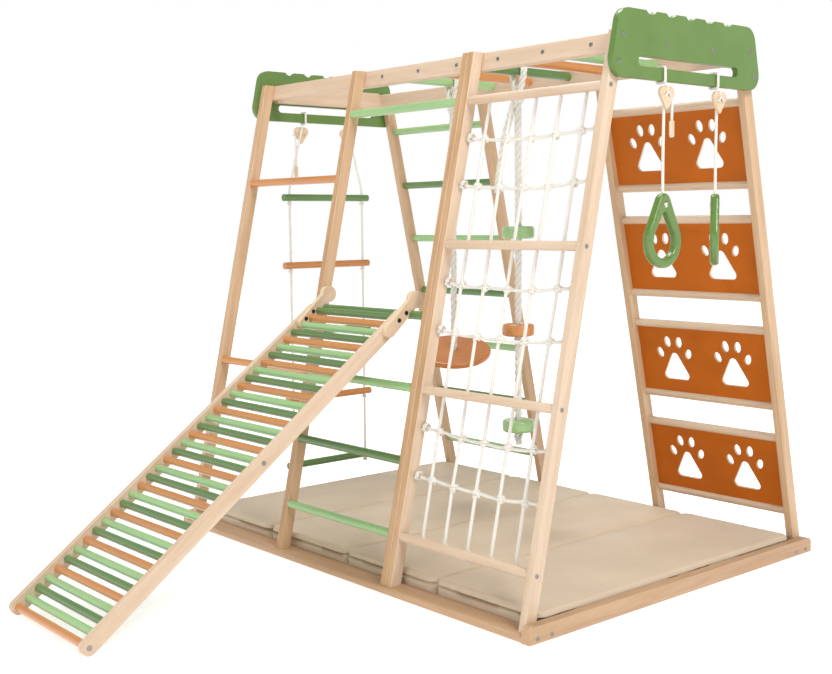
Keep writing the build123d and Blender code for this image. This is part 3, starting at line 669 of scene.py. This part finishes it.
def net_and_loops():
    """The climbing net, and the rope loops round the end boards, as one piece of the frame."""
    build = Builder()
    for x in NET_COLUMNS:
        upright_rope(build, x)
    for z in NET_HEIGHTS:
        cross_rope(build, z)
    for side, y in ((1, RING_Y[0]), (1, RING_Y[1]), (-1, -LADDER_TOP_Y), (-1, LADDER_TOP_Y)):
        build.tube(loop_line(side, y), ROPE_R * 0.97, 12, closed=True)
    build.finish("net_and_board_loops", "gym_frame", "thin_rope", THIN_ROPE, ["net_and_loops"])


def loop_line(side, y):
    """Closed line of a loop round an end board's lower bar."""
    corner = 0.0044
    line = []
    for turn, (cx, cz) in enumerate(((1, 1), (-1, 1), (-1, -1), (1, -1))):
        mid_x = side * LOOP_X + cx * (LOOP_HALF - corner)
        mid_z = (LOOP_LOW + LOOP_HIGH) / 2 + cz * ((LOOP_HIGH - LOOP_LOW) / 2 - corner)
        for i in range(7):
            angle = pi / 2 * (turn + i / 6)
            line.append(Vector((mid_x + corner * cos(angle), y, mid_z + corner * sin(angle))))
    return line


net_and_loops()


# Floor mats ---------------------------------------------------------------------------------------
def outline(half_x, half_y, corner):
    """Rounded rectangle with evenly spread points."""
    points = []
    for cx, cy, start in ((1, 1, 0), (-1, 1, 1), (-1, -1, 2), (1, -1, 3)):
        for i in range(9):
            angle = pi / 2 * (start + i / 8)
            middle = Vector((cx * (half_x - corner), cy * (half_y - corner), 0))
            points.append(middle + Vector((cos(angle), sin(angle), 0)) * corner)
    return even(points + points[:1], 2 * (half_x + half_y) / MAT_STEPS)[:-1]


def mat_profile(half_x):
    """Inset and height of each ring of points, from the foot up; no height means on the crowned top."""
    rings = [(0.0015, 0.004), (0.0, 0.012), (0.0, 0.030), (0.0, 0.046)]
    for i in range(7):
        angle = pi / 2 * i / 6
        rings.append((MAT_EDGE * (1 - cos(angle)), MAT_H - MAT_EDGE + MAT_EDGE * sin(angle)))
    rings += [(MAT_EDGE + 0.006 * 1.28 ** i, None) for i in range(16)]
    return [(inset, z) for inset, z in rings if inset < half_x * 0.97]


def mat_surface(centre):
    """Padded panel: rounded sides with a seam, crowned top with dents and puckers by the seam."""
    half_x, half_y = MAT_W / 2, MAT_D / 2
    count = len(outline(half_x, half_y, MAT_CORNER))
    verts, faces = [], []
    profile = mat_profile(half_x)
    for inset, z in profile:
        loop = outline(half_x - inset, half_y - inset, max(0.012, MAT_CORNER - inset))
        for p in spread(loop + loop[:1], count + 1)[:-1]:
            verts.append(place_on_mat(p, z, inset, half_x, half_y, centre))
    last = (len(profile) - 1) * count
    for low in range(0, last, count):
        for k in range(count):
            m = (k + 1) % count
            faces.append([low + k, low + m, low + count + m, low + count + k])
    faces.append([last + k for k in range(count)])
    faces.append([k for k in range(count - 1, -1, -1)])
    return verts, faces


def place_on_mat(p, z, inset, half_x, half_y, centre):
    """Height and dents of one point of the mat, for its inset from the outline."""
    here = p + centre
    a, b = abs(p.x) / half_x, abs(p.y) / half_y
    on_long_side = a > b
    if z is None:
        crown = 0.0045 * (1 - a ** 4) * (1 - b ** 6)
        dent = 0.0022 * noise.noise(here * 4.5) + 0.0009 * noise.noise(here * 14)
        z = MAT_H + crown + dent - 0.0012
    fade = max(0.0, 1 - inset / 0.05)
    along = here.y if on_long_side else here.x
    pucker = 0.0011 * fade * noise.noise(Vector((along * 42, 0, 3.1)))
    if inset < 0.002:
        belly = 0.0015 * noise.noise(Vector((here.x * 6, here.y * 6, z * 30)))
        outward = Vector((p.x, 0, 0)) if on_long_side else Vector((0, p.y, 0))
        here = here - outward.normalized() * max(0, 0.0012 + belly * 0.5)
    return Vector((here.x, here.y, z + pucker if z > 0.02 else z))


def mats():
    for index, x in enumerate(MAT_X):
        centre = Vector((x, 0, 0))
        verts, faces = mat_surface(centre)
        mesh = bpy.data.meshes.new("floor_mat")
        mesh.from_pydata([tuple(v) for v in verts], [], faces)
        mesh.polygons.foreach_set("use_smooth", [True] * len(mesh.polygons))
        mesh.materials.append(MAT)
        panel = link(f"floor_mat_{index + 1}", mesh)
        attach(panel, "gym_frame")
        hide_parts("floor_mats")
        build = Builder()
        seam = outline(MAT_W / 2 - 0.0012, MAT_D / 2 - 0.0012, MAT_CORNER)
        build.tube([p + centre + Vector((0, 0, 0.0065)) for p in seam], 0.0013, 8, closed=True)
        build.finish(f"floor_mat_{index + 1}_piping", "gym_frame", "mat_cover", MAT_PIPING)


mats()


# Finish of the CAD pieces -------------------------------------------------------------------------
def islands(mesh):
    """Label of the loose solid that each vertex belongs to, joining the split seams."""
    co = np.empty(len(mesh.vertices) * 3)
    mesh.vertices.foreach_get("co", co)
    co = co.reshape(-1, 3)
    _, same = np.unique(np.round(co * 2e4).astype(np.int64), axis=0, return_inverse=True)
    same = same.reshape(-1)
    edges = np.empty(len(mesh.edges) * 2, dtype=np.int64)
    mesh.edges.foreach_get("vertices", edges)
    edges = same[edges.reshape(-1, 2)]
    label = np.arange(same.max() + 1)
    while True:
        low = np.minimum(label[edges[:, 0]], label[edges[:, 1]])
        before = label.copy()
        np.minimum.at(label, edges[:, 0], low)
        np.minimum.at(label, edges[:, 1], low)
        label = label[label]
        if (label == before).all():
            return co, label[same]


def give_grain(obj):
    """Store coordinates along each solid's length, with its own offset and tone."""
    co, label = islands(obj.data)
    grain, own = np.zeros_like(co), np.zeros(len(co))
    for value in np.unique(label):
        chosen = label == value
        points = co[chosen] - co[chosen].mean(0)
        _, axes = np.linalg.eigh(np.cov(points.T))
        shift = random.uniform(0, 40)
        grain[chosen] = points @ axes[:, ::-1] + (shift, 0, 0)
        own[chosen] = random.random()
    where = obj.data.attributes.new("grain", "FLOAT_VECTOR", "POINT")
    where.data.foreach_set("vector", grain.reshape(-1))
    shade = obj.data.attributes.new("tone", "FLOAT", "POINT")
    shade.data.foreach_set("value", own)
    return label


def paint(name, *materials, pick=None):
    """Put materials on a CAD node; pick gives the slot index for a face."""
    obj = nodes[name]
    give_grain(obj)
    obj.data.materials.clear()
    for material in materials:
        obj.data.materials.append(material)
    if pick:
        for face in obj.data.polygons:
            face.material_index = pick(face)


def leg_face(face):
    """Left and rear legs: darker, warmer wood, partly painted shade; inner front legs' front faces: painted
    shade over darker grain.
    """
    front = face.center.y < 0
    if front and INNER_LEGS[0] < face.center.x < INNER_LEGS[1] and abs(face.normal.x) < 0.5:
        return 1
    return 2 if face.center.x < 0 or not front else 0


def panel_face(face):
    wall_normal = Vector((0, cos(LEAN), sin(LEAN)))
    return 0 if abs(face.normal.dot(wall_normal)) > 0.9 else 1


def plate_face(face):
    """Plywood plates stand with their faces towards X; their rims show the layers."""
    return 0 if abs(face.normal.x) > 0.8 else 1


def rail_face(face):
    """Hook plates on the slide's rails show plywood rims, the rails are solid wood."""
    plate = any(low < face.center.x < high for low, high in HOOK_PLATES)
    return 1 if plate and abs(face.normal.x) < 0.8 and face.center.z > HOOK_Z else 0


def tie_bar(face):
    return 0 if face.center.z < 0.1 else 1 if face.center.z < 0.5 else 2


def step_colour(face):
    return 0 if face.center.z > 0.85 else 1 if face.center.z > 0.55 else 2


def ladder_piece(face):
    """Rungs alternate green and orange; tensioners and bead above them are pale wood."""
    z = face.center.z
    if z > 1.15:
        return 2
    return 0 if min(range(5), key=lambda i: abs(LADDER_RUNGS[i] - z)) % 2 == 0 else 1


def bolt_face(face):
    """Dark bolts in the hook plates, bright screws below."""
    return 1 if face.center.z > HOOK_Z else 0


def bar_colour(index):
    """Orange, light, dark, light at the foot, then orange, dark, light repeating."""
    if index < 4:
        return (ORANGE, LIGHT_GREEN, DARK_GREEN, LIGHT_GREEN)[index]
    return (ORANGE, DARK_GREEN, LIGHT_GREEN)[(index - 4) % 3]


def paint_all():
    paint("legs", BIRCH, BIRCH_SHADED_FRONT, BIRCH_WARM_SHADE, pick=leg_face)
    paint("top_beams", BIRCH)
    paint("base_frame", BIRCH_BASE)
    paint("natural_rungs", BIRCH)
    paint("end_boards", BOARD_GREEN)
    paint("orange_rungs", ORANGE)
    paint("light_green_rungs", LIGHT_GREEN)
    paint("dark_green_rungs", DARK_GREEN)
    paint("paw_panels", PANEL_ORANGE, PALE, pick=panel_face)
    paint("slide_rails", BIRCH, PLY_EDGE, pick=rail_face)
    paint("slide_tie_bars", ORANGE, LIGHT_GREEN, DARK_GREEN, pick=tie_bar)
    paint("slide_screws", ZINC, DARK_BOLT, pick=bolt_face)
    paint("frame_screws", ZINC)
    paint("ring_near", RING_GREEN)
    paint("ring_far", RING_GREEN)
    paint("ring_near_toggle", PALE, PLY_EDGE, pick=plate_face)
    paint("ring_far_toggle", PALE, PLY_EDGE, pick=plate_face)
    paint("rope_ladder_rungs", DARK_GREEN, ORANGE, PALE, pick=ladder_piece)
    paint("swing_seat", DISC_ORANGE)
    paint("step_discs", LIGHT_GREEN, ORANGE, LIGHT_GREEN, pick=step_colour)
    for index in range(SLIDE_BARS):
        name = f"slide_roller_{index + 1:02d}"
        if name in nodes:
            paint(name, bar_colour(index))


def ease_edges(name, width):
    """Small round on the sawn edges of a CAD piece."""
    obj = nodes[name]
    weld = obj.modifiers.new("weld", "WELD")
    weld.merge_threshold = 0.00002
    bevel = obj.modifiers.new("ease", "BEVEL")
    bevel.width = width
    bevel.segments = 2
    bevel.limit_method = "ANGLE"
    bevel.angle_limit = radians(50)
    bevel.harden_normals = True


paint_all()
for piece, edge in (("legs", 0.0012), ("top_beams", 0.0012), ("end_boards", 0.005), ("base_frame", 0.0012),
                    ("slide_rails", 0.0014), ("paw_panels", 0.0006)):
    ease_edges(piece, edge)


# Studio -------------------------------------------------------------------------------------------
def area_light(name, place, target, size, power):
    data = bpy.data.lights.new(name, "AREA")
    data.shape = "RECTANGLE"
    data.size, data.size_y = size
    data.energy = power
    light = bpy.data.objects.new(name, data)
    light.location = place
    light.rotation_euler = (Vector(target) - Vector(place)).to_track_quat("-Z", "Y").to_euler()
    bpy.context.collection.objects.link(light)


def studio_sky():
    """White round the horizon, where it shows as the background, and dimmer overhead."""
    world = bpy.data.worlds.new("studio")
    world.use_nodes = True
    tree = world.node_tree
    where = tree.nodes.new("ShaderNodeTexCoord")
    part = tree.nodes.new("ShaderNodeSeparateXYZ")
    tree.links.new(where.outputs["Generated"], part.inputs["Vector"])
    back = tree.nodes["Background"]
    back.inputs["Color"].default_value = (1, 1, 1, 1)
    strength = map_range(tree, part.outputs["Z"], 0.26, 0.45, 1.0, 0.26)
    tree.links.new(strength, back.inputs["Strength"])
    bpy.context.scene.world = world


def studio_floor():
    """White floor that glows more further out, where the lamps no longer reach it."""
    half = 14
    mesh = bpy.data.meshes.new("floor")
    corners = [(-half, -half, 0), (half, -half, 0), (half, half, 0), (-half, half, 0)]
    mesh.from_pydata(corners, [], [(0, 1, 2, 3)])
    shader = Shader("studio_floor", 0.9, 0.1)
    reach = shader.node("ShaderNodeVectorMath", Vector=shader.here())
    reach.operation = "LENGTH"
    shader.put(shader.main, "Emission Color", (1, 1, 1, 1))
    shader.put(shader.main, "Emission Strength", shader.ramp(reach.outputs["Value"], 1.8, 5.0, 0.62, 0.85))
    mesh.materials.append(shader.finish((0.68, 0.68, 0.68, 1)))
    link("floor", mesh)


def studio():
    studio_sky()
    studio_floor()
    area_light("key", (4.4, -1.0, 4.6), (0, -0.2, 0.4), (1.6, 1.6), 190)
    area_light("front", (0.4, -5.0, 2.6), (0, -0.3, 0.5), (3.0, 2.0), 60)
    area_light("top", (-1.2, 0.2, 5.0), (-0.2, -0.2, 0.3), (2.0, 2.0), 125)


studio()
bpy.context.scene.view_settings.view_transform = "Standard"
